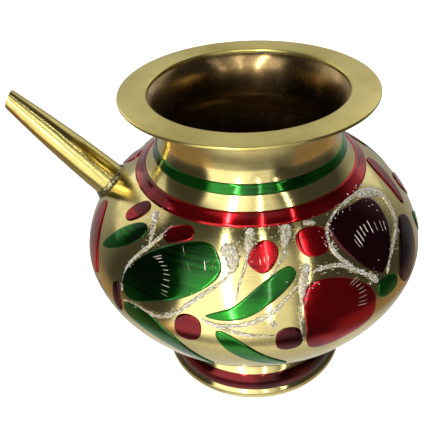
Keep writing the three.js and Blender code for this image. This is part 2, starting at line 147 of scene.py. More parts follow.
WALL_ALONG, WALL_RADIUS, WALL_HEIGHT, NORMAL_OUT, NORMAL_UP = wall_tables()
BOWL_END = WALL_ALONG[0]
NECK_END = WALL_ALONG[-1]


def wall_point(along, lift=0.0):
    """Radius and height of the wall at a distance above its widest circle, lifted off the brass."""
    radius = np.interp(along, WALL_ALONG, WALL_RADIUS) + lift * np.interp(along, WALL_ALONG, NORMAL_OUT)
    height = np.interp(along, WALL_ALONG, WALL_HEIGHT) + lift * np.interp(along, WALL_ALONG, NORMAL_UP)
    return np.maximum(radius, 0.0), height


def body_point(azimuth, along, lift=0.0):
    """Places on the body from an azimuth in degrees, a distance along the wall and a lift off it."""
    radius, height = wall_point(along, lift)
    angle = np.radians(azimuth)
    return np.stack(
        [AXIS.x + radius * np.sin(angle), AXIS.y - radius * np.cos(angle), height + 0 * angle], axis=-1
    )


def wall_run(start, end, steps, lift=0.0):
    """Radius and height of evenly spaced points of the wall."""
    return list(zip(*wall_point(np.linspace(start, end, steps + 1), lift)))


# ---- Shader maths ----


class Wire:
    """A number in a shader. Python arithmetic on it adds Math nodes."""

    def __init__(self, paint, socket):
        self.paint = paint
        self.socket = socket

    def math(self, operation, *others):
        values = dict(enumerate([self, *others]))
        return self.paint.node("Math", {"operation": operation}, values)

    def __add__(self, other):
        return self.math("ADD", other)

    def __sub__(self, other):
        return self.math("SUBTRACT", other)

    def __rsub__(self, other):
        return self.paint.node("Math", {"operation": "SUBTRACT"}, {0: other, 1: self})

    def __mul__(self, other):
        return self.math("MULTIPLY", other)

    def __pow__(self, other):
        return self.math("POWER", other)

    def between(self, low, high):
        """0 below low, 1 above high, smooth in between."""
        settings = {"interpolation_type": "SMOOTHSTEP"}
        return self.paint.node("MapRange", settings, {"Value": self, "From Min": low, "From Max": high})


class Shading:
    """A node tree under construction."""

    def __init__(self, tree):
        self.tree = tree

    def node(self, kind, settings=None, values=None, output=0):
        """Adds a node: its settings first, then the values or links of its sockets."""
        made = self.tree.nodes.new("ShaderNode" + kind)
        for key, value in (settings or {}).items():
            setattr(made, key, value)
        for key, value in (values or {}).items():
            self.feed(made.inputs[key], value)
        return Wire(self, made.outputs[output])

    def feed(self, socket, value):
        if isinstance(value, Wire):
            self.tree.links.new(value.socket, socket)
        else:
            socket.default_value = value

    def parts(self, vector):
        """The three numbers of a vector."""
        split = self.tree.nodes.new("ShaderNodeSeparateXYZ")
        self.feed(split.inputs[0], vector)
        return [Wire(self, output) for output in split.outputs]

    def mix(self, share, low, high):
        """Colour between two others."""
        return self.node("Mix", {"data_type": "RGBA"}, {"Factor": share, 6: low, 7: high}, output=2)


class Paint(Shading):
    """A material under construction."""

    def __init__(self, name):
        self.material = bpy.data.materials.new(name)
        self.material.use_nodes = True
        super().__init__(self.material.node_tree)
        self.shader = self.tree.nodes["Principled BSDF"]

    def set(self, **values):
        """Sets or links sockets of the main shader, named with underscores for spaces."""
        for key, value in values.items():
            self.feed(self.shader.inputs[key.replace("_", " ")], value)

    def place(self):
        """Object coordinates measured from the pot's axis."""
        here = self.node("TexCoord", output="Object")
        return self.node("Mapping", {"vector_type": "POINT"}, {"Vector": here, "Location": -AXIS})

    def ring_place(self):
        """Distance from the axis and height, as a vector, for marks that run round the pot."""
        x, y, z = self.parts(self.place())
        radius = (x * x + y * y) ** 0.5
        return self.node("CombineXYZ", values={0: radius, 2: z})

    def drawn_place(self, direction, squeeze):
        """Object coordinates squeezed along a direction, for marks that run along it."""
        here = self.place()
        along = self.node("VectorMath", {"operation": "DOT_PRODUCT"}, {0: here, 1: direction}, output="Value")
        back = self.node("VectorMath", {"operation": "SCALE"}, {0: direction, "Scale": along * -squeeze})
        return self.node("VectorMath", {"operation": "ADD"}, {0: here, 1: back})

    def noise(self, where, scale, detail=2.0, roughness=0.5):
        values = {"Vector": where, "Scale": scale, "Detail": detail, "Roughness": roughness}
        return self.node("TexNoise", values=values)

    def relief(self, height, distance, strength=1.0, under=None):
        values = {"Height": height, "Distance": distance, "Strength": strength}
        if under is not None:
            values["Normal"] = under
        return self.node("Bump", values=values)


def colour(values):
    return (*values, 1.0)


TURNED_STREAK = 0.75  # how far turned metal draws a highlight out across its rings
STREAK_TURN = 0.25  # turn of that streak, as a share of a full circle
PAPER_GLOW = 1.06


def spun_brass(name, bright, dull, polish, marks, waves=1.0, drawn=None):
    """Turned or drawn brass: fine marks of the tool, slow waves from the forming, and patches of handling."""
    paint = Paint(name)
    here = paint.place()
    rings = paint.noise(paint.drawn_place(drawn, 0.97) if drawn else paint.ring_place(), 2600, 3, 0.65)
    slow = paint.noise(here, 28, 2, 0.5)
    patches = paint.noise(here, 70, 4, 0.6)
    specks = paint.noise(here, 900, 3, 0.7)
    tone = (patches * 0.6 + specks * 0.25 + rings * 0.3).between(0.42, 0.85)
    wear = patches.between(0.35, 0.75)
    paint.set(
        Base_Color=paint.mix(tone, colour(bright), colour(dull)),
        Metallic=1.0,
        Roughness=wear * (0.5 * polish) + rings * (0.35 * polish) + 0.45 * polish,
        Normal=paint.relief(rings, marks * MM, 1.0, paint.relief(slow, waves * 0.9 * MM)),
    )
    if not drawn:
        paint.set(Anisotropic=TURNED_STREAK, Anisotropic_Rotation=STREAK_TURN)
    return paint.material


def lacquer(name, bright, deep, turned):
    """Transparent coloured lacquer flooded over bright brass: tinted metal under a thick gloss coat."""
    paint = Paint(name)
    here = paint.place()
    flow = paint.noise(here, 110, 2, 0.5)
    pools = paint.noise(here, 52, 2, 0.4)
    brushing = paint.noise(paint.ring_place(), 1300, 3, 0.6)
    depth = (pools * 0.75 + brushing * 0.25).between(0.42, 0.66)
    paint.set(
        Base_Color=paint.mix(depth, colour(bright), colour(deep)),
        Metallic=0.94,
        Roughness=flow * 0.06 + brushing * 0.1 + 0.06,
        Coat_Weight=0.45,
        Coat_Roughness=0.03,
        Coat_IOR=1.45,
        Normal=paint.relief(brushing, 0.02 * MM, 0.8, paint.relief(flow, 0.16 * MM)),
    )
    if turned:
        paint.set(Anisotropic=TURNED_STREAK, Anisotropic_Rotation=STREAK_TURN)
    return paint.material


def filler(name):
    """Brazing brass as it froze: dark, pitted and rough."""
    paint = Paint(name)
    here = paint.place()
    lumps = paint.noise(here, 420, 4, 0.65)
    soot = paint.noise(here, 1300, 3, 0.7)
    dark = (lumps * 0.5 + soot * 0.5).between(0.38, 0.54)
    paint.set(
        Base_Color=paint.mix(dark, colour((0.6, 0.53, 0.23)), colour((0.07, 0.05, 0.03))),
        Metallic=dark * -0.4 + 1.0,
        Roughness=lumps * 0.3 + 0.2,
        Normal=paint.relief(lumps, 0.25 * MM),
    )
    return paint.material


def glue_bed(name, tint):
    """Clear glue that is grey with the flakes sunk in it."""
    paint = Paint(name)
    here = paint.place()
    flakes = paint.node(
        "TexVoronoi", {"feature": "F1"}, {"Vector": here, "Scale": 2600}, output="Color"
    )
    spark = paint.node("SeparateColor", values={0: flakes}).between(0.35, 0.8)
    paint.set(
        Base_Color=paint.mix(spark, colour((0.34, 0.27, 0.11)), colour(tint)),
        Metallic=0.8,
        Roughness=spark * -0.2 + 0.5,
        Coat_Weight=0.6,
        Coat_Roughness=0.15,
        Normal=paint.relief(paint.noise(here, 1700, 2, 0.6), 0.2 * MM),
    )
    return paint.material


def flake_foil(name, tint):
    """Silvered foil, a little different from flake to flake."""
    paint = Paint(name)
    here = paint.place()
    shade = paint.noise(here, 1500, 1, 0.5).between(0.35, 0.65)
    paint.set(
        Base_Color=paint.mix(shade, colour((0.72, 0.71, 0.66)), colour(tint)),
        Metallic=0.3,
        Roughness=shade * 0.2 + 0.2,
    )
    return paint.material


def cut_brass_painted_glint(name):
    """Bare brass at the bottom of a graver's cut, whitened past its own colour as a painted glint of the
    cut's shine.
    """
    paint = Paint(name)
    here = paint.place()
    drag = paint.noise(here, 1800, 2, 0.6)
    paint.set(
        # Painted glint: these nearly white colours stand for the shine of the cut; the cut brass itself is
        # yellower.
        Base_Color=paint.mix(drag, colour((0.95, 0.9, 0.78)), colour((0.8, 0.74, 0.6))),
        Metallic=0.85,
        Roughness=drag * 0.2 + 0.2,
        Normal=paint.relief(drag, 0.05 * MM),
    )
    return paint.material


def pale_floor(name, tint):
    """Matt white paper."""
    paint = Paint(name)
    here = paint.node("TexCoord", output="Object")
    fibre = paint.noise(here, 900, 3, 0.6)
    paint.set(
        Base_Color=paint.mix(fibre, colour(tint), colour([0.97 * c for c in tint])),
        Roughness=0.9,
        Emission_Color=colour(tint),
        Emission_Strength=PAPER_GLOW,
    )
    return paint.material


def mixed_once(make, name, *values):
    """A finish by its name, mixed the first time that a piece asks for it."""
    return bpy.data.materials.get(name) or make(name, *values)


# ---- Modelling tools ----


def start_fresh():
    """Object mode with nothing selected."""
    if bpy.context.object and bpy.context.object.mode != "OBJECT":
        bpy.ops.object.mode_set(mode="OBJECT")
    bpy.ops.object.select_all(action="DESELECT")


def pick(*pieces):
    """Object mode with only these pieces selected, and the first of them active."""
    start_fresh()
    for piece in pieces:
        piece.select_set(True)
    bpy.context.view_layer.objects.active = pieces[0]


def apply(piece, modifier):
    bpy.context.view_layer.objects.active = piece
    bpy.ops.object.modifier_apply(modifier=modifier.name)


def draw_chain(points):
    """Draws one chain of edges through the points, and stays in edit mode with all of it selected."""
    start_fresh()
    bpy.ops.mesh.primitive_plane_add(size=MM, location=points[0])
    bpy.ops.object.transform_apply(location=True, rotation=True, scale=True)
    bpy.ops.object.mode_set(mode="EDIT")
    bpy.ops.mesh.select_all(action="SELECT")
    bpy.ops.mesh.merge(type="CENTER")
    for here, there in zip(points, points[1:]):
        bpy.ops.mesh.extrude_region_move(TRANSFORM_OT_translate={"value": there - here})
    bpy.ops.mesh.select_all(action="SELECT")


def spin_chain(points, centre, direction, steps):
    """Spins a chain of points round an axis into a closed piece and returns its object."""
    draw_chain(points)
    bpy.ops.mesh.spin(steps=steps, angle=2 * math.pi, center=centre, axis=direction)
    bpy.ops.mesh.select_all(action="SELECT")
    bpy.ops.mesh.remove_doubles(threshold=0.001 * MM)
    bpy.ops.mesh.normals_make_consistent(inside=False)
    bpy.ops.object.mode_set(mode="OBJECT")
    return bpy.context.object


def spin_piece(outline, steps, closed=True):
    """Spins an outline of radius and height round the pot's axis."""
    points = [Vector((AXIS.x + radius, AXIS.y, height)) for radius, height in outline]
    if closed:
        points.append(points[0].copy())
    return spin_chain(points, AXIS, (0, 0, 1), steps)


def round_edges(piece, width, segments=3, angle=40):
    """Bevels the sharp edges and applies it."""
    bevel = piece.modifiers.new("rounding", "BEVEL")
    bevel.width = width
    bevel.segments = segments
    bevel.limit_method = "ANGLE"
    bevel.angle_limit = math.radians(angle)
    apply(piece, bevel)


def smooth(piece, angle=35):
    pick(piece)
    bpy.ops.object.shade_smooth_by_angle(angle=math.radians(angle))


def finish_piece(piece, name, materials, slot, *nodes):
    """Names a piece, gives it its finishes and puts it in the place of its nodes."""
    piece.name = name
    piece.data.name = name
    for material in materials:
        piece.data.materials.append(material)
    if nodes:
        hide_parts(*nodes)
    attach(piece, BODY)
    return piece


def line_inside(piece):
    """Gives the faces that look into the pot the piece's second finish."""
    for face in piece.data.polygons:
        outward = Vector((face.center.x - AXIS.x, face.center.y - AXIS.y, 0))
        outward.z = (face.center.z - BELLY_HEIGHT) * 0.3
        if face.normal.dot(outward) < 0:
            face.material_index = 1


def grid_patch(name, along, across):
    """A flat grid primitive whose points are then placed by its own 0 to 1 coordinates."""
    start_fresh()
    bpy.ops.mesh.primitive_grid_add(x_subdivisions=along, y_subdivisions=across, size=1, location=(0, 0, 0))
    patch = bpy.context.object
    patch.name = name
    count = len(patch.data.vertices)
    flat = np.empty(count * 3)
    patch.data.vertices.foreach_get("co", flat)
    flat = flat.reshape(-1, 3)
    return patch, flat[:, 0] + 0.5, flat[:, 1] * 2


def set_places(piece, places):
    piece.data.vertices.foreach_set("co", np.asarray(places, np.float32).ravel())
    piece.data.update()


# ---- Ornament ----

# Each stroke follows a spine of (azimuth in degrees, millimetres along the wall) and swells to a half-width.
# The taper powers set how its two ends close: 0.5 is round, 1 is pointed, 0.2 is nearly square.

ENAMELS = {
    "small_petal": ("red", [(-62, 24.6), (-54.6, 32.2)], 2.7, (0.5, 0.5)),
    "side_leaf": ("green", [(-65, 12.6), (-57, 19.5), (-48, 26.2)], 3.1, (0.8, 0.5)),
    "upper_petal": ("red", [(-39.2, 26.6), (-27, 30.2)], 2.6, (0.45, 0.4)),
    "paisley": ("green", [(-47, 7), (-38, 14.3), (-27, 19.6), (-15, 24.6)], 7.6, (0.5, 0.42)),
    "middle_drop": ("red", [(-2.6, 21.4), (4.2, 28.8)], 3.6, (0.4, 0.5)),
    "upper_drop": ("red", [(19.4, 22.5), (20.6, 30.8)], 4.7, (0.5, 0.45)),
    "curved_leaf": ("green", [(-17.4, 8.4), (-8, 10.2), (1, 15.4), (10.4, 20.9)], 2.8, (0.9, 0.45)),
    "heart_petal": ("maroon", [(40.6, 10.4), (42, 20), (43.5, 31.4)], 11, (1, 0.42)),
    "tulip": ("red", [(11.4, 5.8), (23, 5.8), (35.2, 3.2)], 10.4, (0.2, 0.5)),
    "small_leaf": ("green", [(37.2, 6.2), (46.6, 5.6)], 2.9, (0.4, 0.5)),
    "tall_petal": ("maroon", [(49.4, 3.2), (58, 8.5), (67, 16.4)], 5.4, (0.5, 0.5)),
    "left_dot": ("red", [(-26.6, 4), (-18.4, 4)], 4, (0.5, 0.5)),
    "right_dot": ("red", [(2.6, 1.6), (10.4, 1.6)], 3.8, (0.5, 0.5)),
    "low_leaf": ("green", [(-46, 2.4), (-37, 0.6), (-28, -4), (-17, -15)], 3.8, (0.55, 0.9)),
    "front_leaf": ("green", [(-14, 4.4), (-8.6, -0.4), (-2, -6.4), (7, -13)], 2.8, (0.7, 0.8)),
    "edge_petal": ("red", [(-84, 19), (-76, 12), (-64, 3)], 4.4, (0.5, 0.6)),
}

GLITTERS = {
    "left_line": [
        ([(-37.2, 30), (-40.8, 24.6), (-43.6, 20.9),
          (-46.6, 17), (-48.1, 12.8), (-47.6, 6)], 0.75, (0.3, 0.5)),
        ([(-49.5, 31.4), (-46.5, 29.2), (-43, 22.4)], 1.5, (0.4, 0.8)),
    ],
    "paisley_line": [
        ([(-14.6, 27.6), (-10.6, 25.4), (-9.8, 20.6)], 3, (0.5, 0.7)),
        ([(-9.6, 22.6), (-12.1, 19), (-18.7, 14.1), (-22.6, 11),
          (-26.6, 7.4), (-32.6, 4.5), (-40.6, 4.9), (-46.7, 3.8)], 0.8, (0.3, 0.5)),
    ],
    "left_drop": [
        ([(-3.5, 32.9), (-5.1, 26.4)], 1.9, (0.4, 0.6)),
        ([(-4.8, 28), (-5, 24.7), (-7.6, 17.5), (-8.4, 13.5)], 0.6, (0.3, 0.6)),
    ],
    "right_drop": [
        ([(11.6, 32.9), (10.4, 30.4), (8.4, 27)], 2.2, (0.4, 0.6)),
        ([(8.9, 28.4), (8.4, 25.5), (6.2, 22.9), (2.6, 19.6)], 0.6, (0.3, 0.6)),
    ],
    "vine": [
        ([(-18.4, 7.3), (-14, 6.3), (-8.8, 6.6), (-3.6, 7.6),
          (1, 9.5), (5.2, 12.2), (11.8, 17.4)], 0.85, (0.3, 0.3)),
        ([(-17.6, 7.1), (-10, 5), (-3.7, 3.8), (3.4, 3.5)], 0.6, (0.3, 0.6)),
        ([(15.2, 21.6), (12.6, 17), (11.2, 12.6)], 1.9, (0.5, 0.6)),
        ([(11.4, 14.4), (10.5, 10.3), (10, 5.6), (10.2, 0)], 0.5, (0.3, 0.6)),
    ],
    "heart_line": [
        ([(36.7, 11.1), (30.5, 16.3), (27, 20.6),
          (25.6, 24.4), (27.1, 28.4), (35.7, 32.2)], 0.85, (0.3, 0.2)),
        ([(34, 31.8), (45, 32.8), (57, 31.6), (64, 27.6), (63, 22.5),
          (58.9, 18.2), (51.3, 15), (46.1, 12.4), (42.5, 9.1)], 1, (0.2, 0.4)),
        ([(52, 31.8), (59, 30), (65, 26)], 2.2, (0.5, 0.5)),
        ([(16.4, 18.9), (21.1, 19.1), (26.8, 18.1), (32.3, 14.3), (37.2, 10.6)], 0.8, (0.3, 0.3)),
    ],
}

# Ornament that has no solid of its own in the frame.
LOOSE_ENAMELS = {
    "low_petal": ("maroon", [(-51.5, 7.5), (-48.6, -1.5)], 1.8, (0.5, 0.5)),
    "shoulder_petal": ("red", [(87, 32), (80, 26), (73, 17)], 3.2, (0.5, 0.7)),
    "far_leaf": ("green", [(76, 10), (82, 3), (92, -3)], 3.0, (0.6, 0.9)),
}
LOOSE_GLITTERS = {
    "specks": [
        ([(1.6, 7.8), (2.8, 6.0)], 1.1, (0.5, 0.5)),
        ([(19, 32.4), (24, 31.2)], 1.0, (0.5, 0.5)),
        ([(35.4, 12.8), (37.6, 9.2)], 1.4, (0.5, 0.5)),
    ],
}

# Rows of graver's cuts: where the row starts and ends, where its cuts point from, their length and number.
CUTS = {
    "paisley_cuts": ([(-37.5, 20.6), (-32.2, 17.5), (-31, 11.5)], (-52, 14), 2.6, 10),
    "paisley_crosses": ([(-28.5, 24.5), (-25, 20.5), (-19.5, 21.8)], (-12, 4), 3.2, 3),
    "heart_cuts": ([(36, 21.4), (43, 23.6), (52, 20.4)], (40.5, 4), 3.6, 9),
    "tulip_cuts": ([(29, 13.0), (31, 9.6), (30, 5.6)], (14, 9), 3.4, 8),
    "drop_cuts": ([(-0.6, 23.6), (2.4, 24.4)], (1, 12), 2.4, 3),
}


HAIR = 0.02 * MM  # least half-width of a stroke, and half the thickness of a flake
LACQUER_LIFT = 0.04 * MM  # height at which the lacquer's edge starts
LACQUER_EDGE = 0.45 * MM  # how far in from its edge the lacquer is rounded
LACQUER_END = 20 * MM  # the same along a stroke, for the whole length of it
LACQUER_ROOT = 0.5 * MM  # thickness of a patch, most of which is sunk in the brass
FLAKE_TILT = 0.42  # how far flakes lean from the surface
LINE_RISE = 14  # how quickly a glitter line rises from its ends
LINE_ROOT = 0.3 * MM
THIN_LINE = 1.2 * MM  # half-width below which a glitter line is lower
LOWEST_LINE = 0.45  # share of the full height that the thinnest line has
STRAY_SHARE = 0.2
STRAY_SPREAD = 1.5  # spread of stray flakes, in half-widths of their line
STRAY_LIFT = 0.42 * MM
FLAKE_LIFT = 0.08 * MM


def along_spine(spine, t):
    """Points and unit slopes of a smooth curve through the spine, in azimuth and metres along the wall."""
    knots = np.array(spine, float) * (1, MM)
    count = len(knots)
    padded = np.vstack([knots[0], knots, knots[-1]])
    place = np.clip(t, 0, 1) * (count - 1)
    step = np.minimum(place.astype(int), count - 2)
    f = (place - step)[:, None]
    p0, p1, p2, p3 = (padded[step + i] for i in range(4))
    v1, v2 = (p2 - p0) / 2, (p3 - p1) / 2
    point = (
        (2 * p1 - 2 * p2 + v1 + v2) * f**3 + (-3 * p1 + 3 * p2 - 2 * v1 - v2) * f**2 + v1 * f + p1
    )
    slope = 3 * (2 * p1 - 2 * p2 + v1 + v2) * f**2 + 2 * (-3 * p1 + 3 * p2 - 2 * v1 - v2) * f + v1
    return point, slope


def swell(t, taper):
    """Share of the half-width at each place along a stroke."""
    start, end = taper
    peak = start / (start + end)
    return (t**start * (1 - t) ** end) / (peak**start * (1 - peak) ** end)


def stroke_place(stroke, turn, t, side):
    """Azimuth and distance along the wall of places in a stroke, and its half-width there."""
    spine, half, taper = stroke
    middle, slope = along_spine(spine, t)
    per_degree = math.pi / 180 * wall_point(middle[:, 1])[0]
    run = np.stack([slope[:, 0] * per_degree, slope[:, 1]], axis=1)
    run /= np.linalg.norm(run, axis=1)[:, None]
    width = np.maximum(HAIR, half * MM * swell(t, taper))
    azimuth = turn + middle[:, 0] - run[:, 1] * width * side / per_degree
    return azimuth, middle[:, 1] + run[:, 0] * width * side, width


def close_ends(piece):
    """Merges the points that meet at a stroke's two ends."""
    pick(piece)
    bpy.ops.object.mode_set(mode="EDIT")
    bpy.ops.mesh.select_all(action="SELECT")
    bpy.ops.mesh.remove_doubles(threshold=0.03 * MM)
    bpy.ops.mesh.normals_make_consistent(inside=False)
    bpy.ops.object.mode_set(mode="OBJECT")


def face_out(piece):
    """Turns an open patch's faces away from the pot's axis."""
    faces = piece.data.polygons
    middle = Vector((AXIS.x, AXIS.y, BELLY_HEIGHT))
    outward = sum(face.normal.dot(face.center - middle) * face.area for face in faces)
    if outward < 0:
        piece.data.flip_normals()


def thicken(piece, thickness):
    """Gives a patch its thickness, down into the brass, and applies it."""
    solid = piece.modifiers.new("body", "SOLIDIFY")
    solid.thickness = thickness
    solid.offset = -1
    apply(piece, solid)


def enamel_patch(name, stroke, turn, thickness):
    """A pool of lacquer: full in the middle, thin and rounded at its edge."""
    patch, u, v = grid_patch(name, 40, 14)
    t = (1 - np.cos(math.pi * u)) / 2
    side = np.sin(v * math.pi / 2)
    azimuth, along, width = stroke_place(stroke, turn, t, side)
    margin = width * (1 - np.abs(side)) + HAIR
    ends = np.minimum(t, 1 - t) * LACQUER_END
    edge = np.clip(np.minimum(margin, ends) / LACQUER_EDGE, 0, 1)
    lift = LACQUER_LIFT + thickness * np.sqrt(1 - (1 - edge) ** 2)
    set_places(patch, body_point(azimuth, along, lift))
    close_ends(patch)
    face_out(patch)
    thicken(patch, LACQUER_ROOT)
    smooth(patch, 50)
    return patch


def hexagon_flakes(centres, normals, radii, rng):
    """One mesh of thin six-sided plates, each turned its own way."""
    count = len(centres)
    helper = rng.normal(size=(count, 3))
    tilt = normals + helper * FLAKE_TILT
    tilt /= np.linalg.norm(tilt, axis=1)[:, None]
    side = np.cross(tilt, rng.normal(size=(count, 3)))
    side /= np.linalg.norm(side, axis=1)[:, None]
    other = np.cross(tilt, side)
    angles = np.arange(6) * math.pi / 3
    ring = np.cos(angles)[None, :, None] * side[:, None] + np.sin(angles)[None, :, None] * other[:, None]
    ring *= radii[:, None, None]
    rise = tilt[:, None] * HAIR
    corners = np.concatenate([centres[:, None] + ring + rise, centres[:, None] + ring - rise], axis=1)
    faces = [(0, 1, 2, 3, 4, 5), (11, 10, 9, 8, 7, 6)]
    faces += [(i, i + 6, (i + 1) % 6 + 6, (i + 1) % 6) for i in range(6)]
    mesh = bpy.data.meshes.new("flakes")
    all_faces = [tuple(12 * n + i for i in face) for n in range(count) for face in faces]
    mesh.from_pydata(corners.reshape(-1, 3).tolist(), [], all_faces)
    made = bpy.data.objects.new("flakes", mesh)
    bpy.context.scene.collection.objects.link(made)
    return made


def line_height(t, width, height):
    """Height of a glitter line's back, which rises from its ends and is lower where the line is thin."""
    ends = np.clip(np.minimum(t, 1 - t) * LINE_RISE, 0, 1) ** 0.5
    return height * ends * (LOWEST_LINE + (1 - LOWEST_LINE) * np.clip(width / THIN_LINE, 0, 1))


def glitter_stroke(stroke, turn, height, rng):
    """A raised line of glue with an uneven back."""
    steps = max(24, int(12 * len(stroke[0])))
    ridge, u, v = grid_patch("glue", steps, 8)
    t = (1 - np.cos(math.pi * u)) / 2
    wander = 1 + 0.14 * np.sin(t * 37 + rng.uniform(0, 6)) + 0.1 * np.sin(t * 83 + rng.uniform(0, 6))
    azimuth, along, width = stroke_place(stroke, turn, t, np.sin(v * math.pi / 2) * wander)
    back = np.cos(v * math.pi / 2) ** 0.7
    uneven = 0.85 + 0.3 * rng.random(len(t))
    lift = HAIR + line_height(t, width, height) * back * uneven
    set_places(ridge, body_point(azimuth, along, lift))
    close_ends(ridge)
    face_out(ridge)
    thicken(ridge, LINE_ROOT)
    return ridge


def flakes_on(strokes, turn, height, size, per_area, rng):
    """Flakes over the strokes of one glitter line, and a few that strayed beside it."""
    centres, normals, radii = [], [], []
    for stroke in strokes:
        probe = np.linspace(0.01, 0.99, 60)
        azimuth, along, widths = stroke_place(stroke, turn, probe, 0 * probe)
        points = body_point(azimuth, along)
        length = np.linalg.norm(np.diff(points, axis=0), axis=1).sum()
        count = int(length * widths.mean() * 2 * per_area)
        t = rng.choice(probe, size=count, p=widths / widths.sum()) + rng.uniform(-0.008, 0.008, count)
        stray = rng.random(count) < STRAY_SHARE
        side = np.where(stray, rng.normal(0, STRAY_SPREAD, count), rng.uniform(-0.98, 0.98, count))
        azimuth, along, width = stroke_place(stroke, turn, np.clip(t, 0.004, 0.996), side)
        back = np.sqrt(np.clip(1 - side**2, 0, 1))
        on_line = FLAKE_LIFT + line_height(t, width, height) * back
        lift = np.where(np.abs(side) > 1, STRAY_LIFT, on_line)
        here = body_point(azimuth, along, lift)
        out = body_point(azimuth, along, lift + MM) - here
        centres.append(here)
        normals.append(out / np.linalg.norm(out, axis=1)[:, None])
        radii.append(size * rng.uniform(0.6, 1.15, count))
    return hexagon_flakes(np.vstack(centres), np.vstack(normals), np.concatenate(radii), rng)


def join(pieces):
    pick(*pieces)
    bpy.ops.object.join()
    return bpy.context.object


# ---- Settings ----


def tint(name, description, default):
    return FloatVectorProperty(
        name=name, description=description, default=default, size=3, subtype="COLOR", min=0, max=1
    )


def length(name, description, default):
    return FloatProperty(name=name, description=description, default=default, unit="LENGTH")


class PotBrassSettings(bpy.types.PropertyGroup):
    """Spun brass"""

    steps: IntProperty(name="Steps", description="Faces round a spun piece", default=160, min=24, max=256)
    rounding: length("Rounding", "Radius of turned edges", 0.25 * MM)
    bright: tint("Bright brass", "Clean polished brass", (0.88, 0.74, 0.30))
    dull: tint("Handled brass", "Brass where it has been handled", (0.64, 0.51, 0.20))
    satin: tint("Satin brass", "Faced brass of the rim", (0.75, 0.625, 0.20))
    inside: tint("Inside", "Unpolished brass inside the pot", (0.40, 0.27, 0.115))


class PotEnamelSettings(bpy.types.PropertyGroup):
    """Lacquer enamel"""

    thickness: length("Thickness", "Height of the lacquer over the brass", 0.32 * MM)
    red: tint("Red", "Red lacquer where it is thin", (0.50, 0.005, 0.009))
    crimson: tint("Crimson", "Deeper red of the foot and the low dots", (0.17, 0.004, 0.006))
    green: tint("Green", "Green lacquer where it is thin", (0.012, 0.19, 0.010))
    maroon: tint("Maroon", "Maroon lacquer where it is thin", (0.07, 0.004, 0.010))


class PotGlitterSettings(bpy.types.PropertyGroup):
    """Glitter glue"""

    height: length("Height", "Height of a line", 0.45 * MM)
    flake: length("Flake", "Radius of a flake", 0.15 * MM)
    per_area: FloatProperty(
        name="Flakes", description="Flakes in each square metre of glue", default=1.15e7, min=0
    )
    glue: tint("Glue", "Glue with the brass showing through", (0.66, 0.58, 0.32))
    silver: tint("Silver", "Foil of the flakes", (0.95, 0.95, 0.93))
    slim: FloatProperty(name="Slim", description="Share of a line's width that the glue fills", default=0.72)
    seed: IntProperty(name="Seed", description="Start of the random draws", default=11)


class PotStudioSettings(bpy.types.PropertyGroup):
    """Camera, floor and lights"""

    distance: length("Distance", "Camera to its aim", 200 * MM)
    elevation: FloatProperty(
        name="Elevation", description="Camera above the horizon", default=math.radians(34.8), unit="ROTATION"
    )
    roll: FloatProperty(
        name="Roll", description="Turn of the camera on its own axis", default=math.radians(-3.36),
        unit="ROTATION",
    )
    lens: FloatProperty(name="Lens", description="Focal length in millimetres", default=47.96)
    aim: FloatVectorProperty(
        name="Aim", description="Camera's aim, from the foot of the pot's axis",
        default=(-9.56 * MM, 0, 57.7 * MM), size=3, subtype="XYZ",
    )
    floor: tint("Floor", "Paper under the pot", (0.93, 0.93, 0.92))


# ---- Operators ----


def brass_outside(brass):
    return mixed_once(spun_brass, "polished_brass", brass.bright, brass.dull, 0.19, 0.012, 0.7)


def brass_inside(brass):
    deep = [0.35 * c for c in brass.inside]
    return mixed_once(spun_brass, "brass_inside", brass.inside, deep, 0.3, 0.03, 0.6)


class POT_OT_body(bpy.types.Operator):
    """Spin the bowl and the shoulder of the pot"""

    bl_idname = "pot.body"
    bl_label = "Body"

    def execute(self, context):
        brass = context.scene.pot_brass
        finishes = [brass_outside(brass), brass_inside(brass)]
        bowl = wall_run(BOWL_END, 0, 56) + wall_run(0, BOWL_END, 40, -WALL)
        piece = spin_piece(bowl, brass.steps, closed=False)
        finish_piece(piece, "bowl", finishes, "brass_polished", "lower_bowl")
        line_inside(piece)
        smooth(piece)
        outline = wall_run(0, NECK_SEAM, 60) + wall_run(NECK_SEAM, 0, 40, -WALL)
        piece = spin_piece(outline, brass.steps)
        finish_piece(piece, "shoulder", finishes, "brass_polished", "shoulder_shell")
        line_inside(piece)
        bore_spout_hole(piece)
        smooth(piece)
        return {"FINISHED"}


def spout_frame():
    """The spout's root on the wall, and the unit vectors along it and across it."""
    root = Vector(body_point(np.array(SPOUT_AZIMUTH), np.array(SPOUT_ROOT)))
    azimuth, elevation = math.radians(SPOUT_AZIMUTH), math.radians(SPOUT_ELEVATION)
    level = Vector((math.sin(azimuth), -math.cos(azimuth), 0))
    direction = level * math.cos(elevation) + Vector((0, 0, math.sin(elevation)))
    over = Vector((0, 0, 1)) * math.cos(elevation) - level * math.sin(elevation)
    return root, direction, over


def bore_spout_hole(shell):
    """Cuts the hole that the spout pours from."""
    root, direction, _ = spout_frame()
    start_fresh()
    bpy.ops.mesh.primitive_cylinder_add(
        vertices=48, radius=SPOUT_RADII[0] - SPOUT_WALL, depth=24 * MM, location=root,
        rotation=direction.to_track_quat("Z", "Y").to_euler(),
    )
    drill = bpy.context.object
    cut = shell.modifiers.new("spout hole", "BOOLEAN")
    cut.operation = "DIFFERENCE"
    cut.solver = "EXACT"
    cut.object = drill
    pick(shell)
    apply(shell, cut)
    bpy.data.objects.remove(drill)


